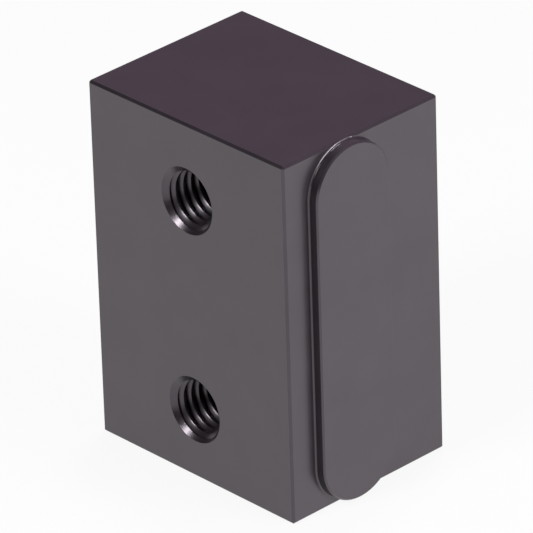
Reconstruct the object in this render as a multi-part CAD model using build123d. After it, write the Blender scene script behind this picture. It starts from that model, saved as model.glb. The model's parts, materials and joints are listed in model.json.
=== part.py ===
from build123d import *
from math import radians, tan
import os

# Machined mounting block, in one piece: a rectangular block with two tapped, countersunk holes,
# one above the other, in its front face, and a raised pad with round ends up its side face.
#
# Millimetres, +Z up. The block stands on its bottom face. The origin is the centre of the
# bottom of the overall box, pad included. The tapped face looks towards -Y and the pad towards +X.

# Block
BLOCK_WIDTH = 33.2          # along X, without the pad
BLOCK_DEPTH = 25.5          # along Y, from the tapped face to the back face
BLOCK_HEIGHT = 48.0         # along Z
EDGE_BREAK = 0.3            # 45 degree chamfer along every outer edge

# Pad on the +X face, a straight tongue with full-radius ends
PAD_WIDTH = 12.0            # along Y
PAD_THICKNESS = 1.4         # how far it stands out of the block's face
PAD_SETBACK = 4.0           # from the tapped face to the pad's near side
PAD_END_INSET = 0.2         # from the block's top and bottom faces to the pad's round ends
PAD_EDGE_BREAK = 0.2        # 45 degree chamfer around the pad's face
PAD_ROOT_RADIUS = 0.25      # hollow fillet round the pad's foot, left by the cutter's corner
PAD_OVERLAP = 1.0           # how far the pad's solid reaches into the block to fuse with it

# Tapped holes in the -Y face, M8 x 1.25, blind and on the face's centre line
HOLE_BELOW_TOP = 10.3       # from the block's top face to the upper hole's axis
HOLE_SPACING = 28.3         # between the two axes, along Z
TAP_DRILL_DIAMETER = 6.8    # wall of the hole, at the thread's crests
COUNTERSINK_DIAMETER = 8.7  # at the mouth
COUNTERSINK_ANGLE = 90.0    # included angle, degrees
DRILL_DEPTH = 20.0          # from the mouth to the end of the straight wall
DRILL_POINT_ANGLE = 118.0   # included angle of the drill's point, degrees

# Places worked out from the sizes above
overall_width = BLOCK_WIDTH + PAD_THICKNESS
block_centre_x = -PAD_THICKNESS / 2
pad_face_x = overall_width / 2
side_face_x = pad_face_x - PAD_THICKNESS
tapped_face_y = -BLOCK_DEPTH / 2

pad_radius = PAD_WIDTH / 2
pad_centre_y = tapped_face_y + PAD_SETBACK + pad_radius
pad_low_centre_z = PAD_END_INSET + pad_radius
pad_high_centre_z = BLOCK_HEIGHT - PAD_END_INSET - pad_radius

upper_hole_z = BLOCK_HEIGHT - HOLE_BELOW_TOP
hole_heights = (upper_hole_z, upper_hole_z - HOLE_SPACING)


def cone_depth(large_radius, small_radius, included_angle):
    """Depth of a cone that narrows from one radius to another."""
    return (large_radius - small_radius) / tan(radians(included_angle / 2))


def make_block():
    """The plain block, with its edges broken."""
    with BuildPart() as block:
        with Locations((block_centre_x, 0, 0)):
            Box(
                BLOCK_WIDTH, BLOCK_DEPTH, BLOCK_HEIGHT,
                align=(Align.CENTER, Align.CENTER, Align.MIN),
            )
        chamfer(block.edges(), EDGE_BREAK)
    return block.part


def pad_half_section():
    """Half of the pad's cross-section: local X out from its middle, local Y out of the side face."""
    foot = pad_radius + PAD_ROOT_RADIUS
    with BuildSketch() as section:
        with BuildLine():
            Polyline((pad_radius, PAD_ROOT_RADIUS), (pad_radius, PAD_THICKNESS - PAD_EDGE_BREAK),
                     (pad_radius - PAD_EDGE_BREAK, PAD_THICKNESS), (0, PAD_THICKNESS),
                     (0, -PAD_OVERLAP), (foot, -PAD_OVERLAP), (foot, 0))
            RadiusArc((foot, 0), (pad_radius, PAD_ROOT_RADIUS), PAD_ROOT_RADIUS)
        make_face()
    return section.sketch


def make_pad():
    """The pad and its filleted foot: one section, turned at both ends and straight between."""
    section = pad_half_section()
    # Local X lies along +Y and local Y along +X, so the section's own middle is the axis
    low_end = Plane((side_face_x, pad_centre_y, pad_low_centre_z), x_dir=(0, 1, 0), z_dir=(0, 0, -1))
    high_end = Plane((side_face_x, pad_centre_y, pad_high_centre_z), x_dir=(0, 1, 0), z_dir=(0, 0, -1))
    straight_length = pad_high_centre_z - pad_low_centre_z
    with BuildPart() as pad:
        for end in (low_end, high_end):
            turning_axis = Axis(end.origin, (1, 0, 0))
            add(revolve(end * section, turning_axis, 360))
        full_section = section + mirror(section, about=Plane.YZ)
        add(extrude(high_end * full_section, straight_length))
        # The foot's fillet ends where the block's top and bottom faces do
        with Locations((side_face_x, pad_centre_y, 0)):
            Box(
                2 * (PAD_OVERLAP + PAD_THICKNESS), 2 * PAD_WIDTH, BLOCK_HEIGHT,
                align=(Align.CENTER, Align.CENTER, Align.MIN),
                mode=Mode.INTERSECT,
            )
    return pad.part


def hole_cutter():
    """Tapped hole as a solid to cut away: countersink, straight wall and drill point, along +Z."""
    mouth_radius = COUNTERSINK_DIAMETER / 2
    wall_radius = TAP_DRILL_DIAMETER / 2
    countersink_depth = cone_depth(mouth_radius, wall_radius, COUNTERSINK_ANGLE)
    point_depth = cone_depth(wall_radius, 0, DRILL_POINT_ANGLE)
    with BuildPart() as cutter:
        with BuildSketch(Plane.XZ):
            with BuildLine():
                Polyline((0, 0), (mouth_radius, 0), (wall_radius, countersink_depth),
                         (wall_radius, DRILL_DEPTH), (0, DRILL_DEPTH + point_depth), close=True)
            make_face()
        revolve(axis=Axis.Z)
    return cutter.part


def make_mounting_block():
    """The whole part."""
    body = make_block() + make_pad()
    cutter = hole_cutter()
    for height in hole_heights:
        # Into the tapped face, away from its outward side
        mouth = Plane((block_centre_x, tapped_face_y, height), x_dir=(1, 0, 0), z_dir=(0, 1, 0))
        body -= mouth * cutter
    return body


mounting_block = make_mounting_block()
mounting_block.label = "mounting_block"

os.makedirs("parts", exist_ok=True)
export_step(mounting_block, "parts/mounting_block.step")
print("mounting_block", round(mounting_block.volume, 1), "mm3", mounting_block.bounding_box())
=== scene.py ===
# Looks of the machined mounting block: cut threads, black anodised finish, floor, light, camera.
import json
from math import cos, pi, radians, sin, tan

import bmesh
import bpy
from mathutils import Matrix, Vector


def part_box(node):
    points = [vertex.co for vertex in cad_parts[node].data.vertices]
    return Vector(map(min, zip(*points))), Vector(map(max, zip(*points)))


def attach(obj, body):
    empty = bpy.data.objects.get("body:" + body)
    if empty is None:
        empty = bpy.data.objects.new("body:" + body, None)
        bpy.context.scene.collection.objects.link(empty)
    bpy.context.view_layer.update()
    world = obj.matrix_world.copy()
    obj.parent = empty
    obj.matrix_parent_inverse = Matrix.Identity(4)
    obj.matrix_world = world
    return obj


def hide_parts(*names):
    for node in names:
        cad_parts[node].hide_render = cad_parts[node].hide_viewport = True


MM = 0.001
NODE = "mounting_block"

# Thread in both holes: M8 coarse, metres
PITCH = 1.25 * MM
MAJOR_RADIUS = 4.0 * MM
THREAD_DEPTH = 16.0 * MM       # full thread, from the mouth
RUN_OUT_TURNS = 1.0            # over which the groove fades at its inner end
LEAD_IN_TURNS = 1.0            # that the cutter starts in front of the mouth
FLANK_ANGLE = radians(30)      # each flank from the plane across the axis
ROOT_FLAT = PITCH / 8          # width of the groove's bottom
CREST_BREAK = 0.1 * MM         # 45 degree break along both edges of the crest
CUTTER_CLEARANCE = 0.1 * MM    # how far the cutter reaches inside the hole's wall
STEPS_PER_TURN = 72
SHALLOWEST_CUT = 0.05          # share of the groove's depth where it runs out
SMOOTH_ANGLE = radians(35)     # edges sharper than this stay sharp
WELD_DISTANCE = 0.0001 * MM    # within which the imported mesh's points are joined
LARGE_FACE_WEIGHT = 100        # how far large faces lead the smoothed normals

# Camera
CAMERA_AZIMUTH = radians(46.75)     # round from the tapped face towards the pad
CAMERA_ELEVATION = radians(28.47)
CAMERA_ROLL = radians(-1.85)
CAMERA_DISTANCE = 0.84664      # metres, from the block's centre
CAMERA_LENS = 477.05           # mm, on a 36 mm sensor
AIM_RIGHT = -0.00013           # of the block's centre, along the picture's axes
AIM_UP = -0.000146

# Black anodised finish
SKIN_IOR = 1.79
SKIN_TINT = (1, 0.9, 1, 1)
DYE_DARK = (0.010, 0.008, 0.010, 1)
DYE_LIGHT = (0.016, 0.013, 0.016, 1)
ROUGHNESS = (0.29, 0.31)
PATCH_SCALE = 160              # of the dye's patches, in noise waves to the metre
PATCH_DETAIL = 3
CLOUD_SCALE = 500              # of the sheen's clouds
CLOUD_DETAIL = 4
GRAIN_SCALE = 9000             # of the etched grain
GRAIN_DETAIL = 2
GRAIN_STRENGTH = 0.15
GRAIN_HEIGHT = 0.02 * MM

# Studio
FLOOR_REACH = 3.0              # metres, each way from the middle
FLOOR_GAP = 0.02 * MM          # below the block
FLOOR_COLOUR = (0.8, 0.8, 0.8, 1)
FLOOR_GLOW_SHARE = 0.9         # the rest takes light and shadow
STUDIO_FRONT = (0.06, 0.05, 0.06, 1)
STUDIO_BACK = (0.36, 0.27, 0.35, 1)
STUDIO_DARK_TO = -0.3          # Y of the direction looked in, of unit length
STUDIO_LIGHT_FROM = 0.4
LAMP_DISTANCE = 0.6            # metres, from the block's centre
LAMPS = (                      # name, direction from the block, side in metres, watts
    ("key", (-0.05, -0.72, 0.68), 0.15, 2.0),
    ("side", (0.95, 0.25, 0.2), 0.3, 4.5),
    ("overhead", (-0.1, 0.2, 0.95), 0.1, 1.0),
)

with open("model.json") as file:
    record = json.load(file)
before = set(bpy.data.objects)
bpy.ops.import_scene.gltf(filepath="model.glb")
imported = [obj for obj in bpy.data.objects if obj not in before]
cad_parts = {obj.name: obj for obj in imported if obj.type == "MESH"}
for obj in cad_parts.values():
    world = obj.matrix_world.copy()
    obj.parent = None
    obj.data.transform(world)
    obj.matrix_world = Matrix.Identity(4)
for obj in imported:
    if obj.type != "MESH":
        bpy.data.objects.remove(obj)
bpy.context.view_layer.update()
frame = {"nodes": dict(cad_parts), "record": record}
mounts = {mount["name"]: mount for mount in frame["record"]["mounts"]}
low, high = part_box(NODE)
holes_centre = Vector(mounts["tapped_holes"]["pos_m"])
block_centre = Vector((holes_centre.x, (low.y + high.y) / 2, (low.z + high.z) / 2))


# ---- Threads ----

def groove_section(depth_share):
    """The cutter's section in a plane through the axis, as (radius, offset along the axis)."""
    inner = wall_radius - CUTTER_CLEARANCE
    crest = inner + (CUTTER_CLEARANCE + CREST_BREAK) * depth_share
    outer = inner + (MAJOR_RADIUS - inner) * depth_share
    half_root = ROOT_FLAT / 2
    half_crest = half_root + (outer - crest) * tan(FLANK_ANGLE)
    half_mouth = half_crest + crest - inner
    return ((inner, -half_mouth), (crest, -half_crest), (outer, -half_root),
            (outer, half_root), (crest, half_crest), (inner, half_mouth))


def thread_cutter(mouth):
    """A right-hand helical ridge that cuts the thread's groove, as a closed mesh object."""
    turns = LEAD_IN_TURNS + THREAD_DEPTH / PITCH + RUN_OUT_TURNS
    steps = round(turns * STEPS_PER_TURN)
    shape = bmesh.new()
    rings = []
    for step in range(steps + 1):
        turn = step / STEPS_PER_TURN
        left = (turns - turn) / RUN_OUT_TURNS
        advance = (turn - LEAD_IN_TURNS) * PITCH
        ring = []
        for radius, offset in groove_section(min(1, max(SHALLOWEST_CUT, left))):
            across = radius * sin(2 * pi * turn)
            upward = radius * cos(2 * pi * turn)
            place = Vector((across, advance + offset, upward))
            ring.append(shape.verts.new(mouth + place))
        rings.append(ring)
    for near, far in zip(rings, rings[1:]):
        for side in range(len(near)):
            after = (side + 1) % len(near)
            shape.faces.new((near[side], near[after], far[after], far[side]))
    shape.faces.new(rings[0][::-1])
    shape.faces.new(rings[-1])
    bmesh.ops.recalc_face_normals(shape, faces=shape.faces)
    mesh = bpy.data.meshes.new("thread_cutter")
    shape.to_mesh(mesh)
    shape.free()
    cutter = bpy.data.objects.new("thread_cutter", mesh)
    bpy.context.scene.collection.objects.link(cutter)
    return cutter


def evaluated_mesh(obj, name):
    """A new mesh with the object's modifiers applied."""
    graph = bpy.context.evaluated_depsgraph_get()
    mesh = bpy.data.meshes.new_from_object(obj.evaluated_get(graph))
    mesh.name = name
    return mesh


def threaded_block():
    """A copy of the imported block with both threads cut, smooth where it is round."""
    mesh = frame["nodes"][NODE].data.copy()
    joined = bmesh.new()
    joined.from_mesh(mesh)
    bmesh.ops.remove_doubles(joined, verts=joined.verts, dist=WELD_DISTANCE)
    joined.to_mesh(mesh)
    joined.free()
    if mesh.has_custom_normals:
        mesh.attributes.remove(mesh.attributes["custom_normal"])
    block = bpy.data.objects.new("threaded_block", mesh)
    bpy.context.scene.collection.objects.link(block)
    cutters = []
    for name in ("upper_tapped_hole", "lower_tapped_hole"):
        axis_place = Vector(mounts[name]["pos_m"])
        cutter = thread_cutter(Vector((axis_place.x, low.y, axis_place.z)))
        cut = block.modifiers.new(name, "BOOLEAN")
        cut.operation = "DIFFERENCE"
        cut.solver = "EXACT"
        cut.object = cutter
        cutters.append(cutter)
    block.data = evaluated_mesh(block, "threaded_block")
    block.modifiers.clear()
    for cutter in cutters:
        bpy.data.objects.remove(cutter)
    block.data.shade_smooth()
    block.data.set_sharp_from_angle(angle=SMOOTH_ANGLE)
    weighted = block.modifiers.new("weighted", "WEIGHTED_NORMAL")
    weighted.keep_sharp = True
    weighted.weight = LARGE_FACE_WEIGHT
    block.data = evaluated_mesh(block, "threaded_block")
    block.modifiers.clear()
    return block


wall_radius = mounts["upper_tapped_hole"]["dims"]["r_mm"] * MM
block = threaded_block()
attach(block, "root")
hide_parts(NODE)


# ---- Materials ----

def new_material(name):
    """A new node material and its emptied tree."""
    material = bpy.data.materials.new(name)
    material.use_nodes = True
    material.node_tree.nodes.clear()
    return material, material.node_tree


def noise(tree, coordinates, scale, detail):
    """The value of a noise texture, about 0.5 on average."""
    node = tree.nodes.new("ShaderNodeTexNoise")
    node.inputs["Scale"].default_value = scale
    node.inputs["Detail"].default_value = detail
    tree.links.new(coordinates, node.inputs["Vector"])
    return node.outputs["Fac"]


def spread(tree, value, low_end, high_end):
    """The value's usual range of noise, 0.3 to 0.7, stretched between two numbers."""
    node = tree.nodes.new("ShaderNodeMapRange")
    node.inputs["From Min"].default_value = 0.3
    node.inputs["From Max"].default_value = 0.7
    node.inputs["To Min"].default_value = low_end
    node.inputs["To Max"].default_value = high_end
    tree.links.new(value, node.inputs["Value"])
    return node.outputs["Result"]


def black_anodised():
    """Satin black anodised aluminium: a dyed layer under a clear oxide skin, with a fine etched grain."""
    material, tree = new_material("black_anodised")
    output = tree.nodes.new("ShaderNodeOutputMaterial")
    shader = tree.nodes.new("ShaderNodeBsdfPrincipled")
    shader.inputs["IOR"].default_value = SKIN_IOR
    shader.inputs["Specular Tint"].default_value = SKIN_TINT
    tree.links.new(shader.outputs["BSDF"], output.inputs["Surface"])
    coordinates = tree.nodes.new("ShaderNodeTexCoord").outputs["Object"]

    # The dye is a little uneven, in patches some millimetres wide
    dye = tree.nodes.new("ShaderNodeMix")
    dye.data_type = "RGBA"
    dye.inputs["A"].default_value = DYE_DARK
    dye.inputs["B"].default_value = DYE_LIGHT
    patches = spread(tree, noise(tree, coordinates, PATCH_SCALE, PATCH_DETAIL), 0, 1)
    tree.links.new(patches, dye.inputs["Factor"])
    tree.links.new(dye.outputs["Result"], shader.inputs["Base Color"])

    # So is the sheen, more finely
    clouds = noise(tree, coordinates, CLOUD_SCALE, CLOUD_DETAIL)
    tree.links.new(spread(tree, clouds, *ROUGHNESS), shader.inputs["Roughness"])

    # Etched grain
    grain = tree.nodes.new("ShaderNodeBump")
    grain.inputs["Strength"].default_value = GRAIN_STRENGTH
    grain.inputs["Distance"].default_value = GRAIN_HEIGHT
    heights = noise(tree, coordinates, GRAIN_SCALE, GRAIN_DETAIL)
    tree.links.new(heights, grain.inputs["Height"])
    tree.links.new(grain.outputs["Normal"], shader.inputs["Normal"])
    return material


block.data.materials.clear()
block.data.materials.append(black_anodised())


# ---- Floor and light ----

def either(tree, first, second):
    """The larger of two values."""
    node = tree.nodes.new("ShaderNodeMath")
    node.operation = "MAXIMUM"
    tree.links.new(first, node.inputs[0])
    tree.links.new(second, node.inputs[1])
    return node.outputs[0]


def white_floor():
    """White to the eye and in reflections, with a share that takes light and shadow."""
    material, tree = new_material("white_floor")
    output = tree.nodes.new("ShaderNodeOutputMaterial")
    path = tree.nodes.new("ShaderNodeLightPath").outputs
    mirrored = either(tree, path["Is Glossy Ray"], path["Is Transmission Ray"])
    seen = either(tree, path["Is Camera Ray"], mirrored)
    share = tree.nodes.new("ShaderNodeMath")
    share.operation = "MULTIPLY"
    share.inputs[1].default_value = FLOOR_GLOW_SHARE
    tree.links.new(seen, share.inputs[0])
    matt = tree.nodes.new("ShaderNodeBsdfDiffuse")
    matt.inputs["Color"].default_value = FLOOR_COLOUR
    glow = tree.nodes.new("ShaderNodeEmission")
    mix = tree.nodes.new("ShaderNodeMixShader")
    tree.links.new(share.outputs[0], mix.inputs[0])
    tree.links.new(matt.outputs[0], mix.inputs[1])
    tree.links.new(glow.outputs[0], mix.inputs[2])
    tree.links.new(mix.outputs[0], output.inputs["Surface"])
    return material


def add_floor():
    """A wide white floor just under the block."""
    mesh = bpy.data.meshes.new("floor")
    corners = [(-FLOOR_REACH, -FLOOR_REACH, 0), (FLOOR_REACH, -FLOOR_REACH, 0),
               (FLOOR_REACH, FLOOR_REACH, 0), (-FLOOR_REACH, FLOOR_REACH, 0)]
    mesh.from_pydata(corners, [], [(0, 1, 2, 3)])
    mesh.materials.append(white_floor())
    floor = bpy.data.objects.new("floor", mesh)
    floor.location.z = low.z - FLOOR_GAP
    bpy.context.scene.collection.objects.link(floor)


def add_lamp(name, direction, size, power):
    """A square soft lamp that points at the block."""
    data = bpy.data.lights.new(name, "AREA")
    data.shape = "SQUARE"
    data.size = size
    data.energy = power
    lamp = bpy.data.objects.new(name, data)
    towards = Vector(direction).normalized()
    lamp.location = block_centre + towards * LAMP_DISTANCE
    lamp.rotation_euler = towards.to_track_quat("Z", "Y").to_euler()
    bpy.context.scene.collection.objects.link(lamp)


def add_world():
    """A dim studio: dark in front of the block, lighter behind it."""
    world = bpy.data.worlds.new("studio")
    world.use_nodes = True
    tree = world.node_tree
    background = next(n for n in tree.nodes if n.type == "BACKGROUND")
    direction = tree.nodes.new("ShaderNodeTexCoord").outputs["Generated"]
    parts = tree.nodes.new("ShaderNodeSeparateXYZ")
    tree.links.new(direction, parts.inputs[0])
    backward = tree.nodes.new("ShaderNodeMapRange")
    backward.interpolation_type = "SMOOTHSTEP"
    backward.inputs["From Min"].default_value = STUDIO_DARK_TO
    backward.inputs["From Max"].default_value = STUDIO_LIGHT_FROM
    tree.links.new(parts.outputs["Y"], backward.inputs["Value"])
    mix = tree.nodes.new("ShaderNodeMix")
    mix.data_type = "RGBA"
    mix.inputs["A"].default_value = STUDIO_FRONT
    mix.inputs["B"].default_value = STUDIO_BACK
    tree.links.new(backward.outputs["Result"], mix.inputs["Factor"])
    tree.links.new(mix.outputs["Result"], background.inputs["Color"])
    bpy.context.scene.world = world


def add_camera():
    """A long-lens camera above the upright edge between the tapped face and the pad's side."""
    back = Vector((sin(CAMERA_AZIMUTH) * cos(CAMERA_ELEVATION),
                   -cos(CAMERA_AZIMUTH) * cos(CAMERA_ELEVATION),
                   sin(CAMERA_ELEVATION)))
    level = Vector((0, 0, 1)).cross(back).normalized()
    upright = back.cross(level)
    right = cos(CAMERA_ROLL) * level + sin(CAMERA_ROLL) * upright
    up = cos(CAMERA_ROLL) * upright - sin(CAMERA_ROLL) * level
    data = bpy.data.cameras.new("camera")
    data.lens = CAMERA_LENS
    camera = bpy.data.objects.new("camera", data)
    place = block_centre + AIM_RIGHT * right + AIM_UP * up + CAMERA_DISTANCE * back
    camera.matrix_world = Matrix.Translation(place) @ Matrix((right, up, back)).transposed().to_4x4()
    bpy.context.scene.collection.objects.link(camera)
    bpy.context.scene.camera = camera


add_floor()
add_world()
for lamp_row in LAMPS:
    add_lamp(*lamp_row)
add_camera()
bpy.context.scene.view_settings.view_transform = "Standard"
